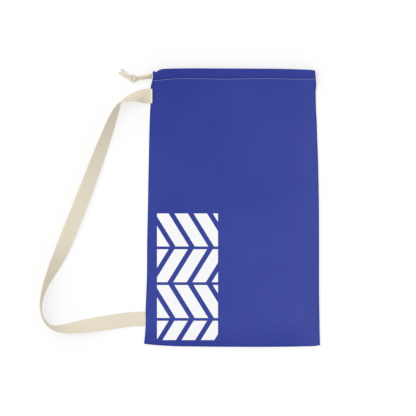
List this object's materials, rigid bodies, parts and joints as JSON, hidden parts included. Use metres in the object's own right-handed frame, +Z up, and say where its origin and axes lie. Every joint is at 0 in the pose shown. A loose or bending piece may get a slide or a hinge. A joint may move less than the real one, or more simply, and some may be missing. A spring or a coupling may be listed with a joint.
{
  "type": "laundry bag",
  "caption": "Flat drawstring laundry bag with a webbing shoulder strap sewn into one side seam, laid out flat with its strap and knotted cord beside it.",
  "frame": {"origin": "middle of the back panel's outer face, which lies on the surface", "axes": "+Y towards the mouth, +X to the right with the front panel up, +Z up out of the front panel"},
  "size_m": [0.7586, 0.7554, 0.0398],
  "materials": {
    "printed_cloth": "matte printed polyester",
    "hem_thread": "polyester sewing thread",
    "strap_thread": "cotton sewing thread",
    "cotton_cord": "braided cotton",
    "cotton_webbing": "ribbed cotton webbing"
  },
  "bodies": {
    "bag": {"front_panel": "printed_cloth", "back_panel": "printed_cloth", "front_hem_thread": "hem_thread", "back_hem_thread": "hem_thread", "left_seam_thread": "hem_thread", "right_seam_thread": "hem_thread", "base_seam_thread": "hem_thread", "strap_upper_thread": "strap_thread", "strap_lower_thread": "strap_thread", "strap_upper_end": "cotton_webbing", "strap_lower_end": "cotton_webbing"},
    "strap": {"shoulder_strap": "cotton_webbing"},
    "drawstring": {"drawstring_in_hem": "cotton_cord", "drawstring_front_strand": "cotton_cord", "drawstring_back_strand": "cotton_cord", "drawstring_knot": "cotton_cord", "drawstring_front_tail": "cotton_cord", "drawstring_back_tail": "cotton_cord"}
  },
  "joints": [
    {"name": "strap_swing", "type": "hinge", "parent": "bag", "child": "strap", "pos_m": [-0.245, 0, 0.0019], "axis": [0, 1, 0], "range_deg": [0, 100]},
    {"name": "drawstring_pull", "type": "slide", "parent": "bag", "child": "drawstring", "axis": [-1, 0, 0], "range_m": [0, 0.36], "deforming": ["drawstring_in_hem"]}
  ]
}
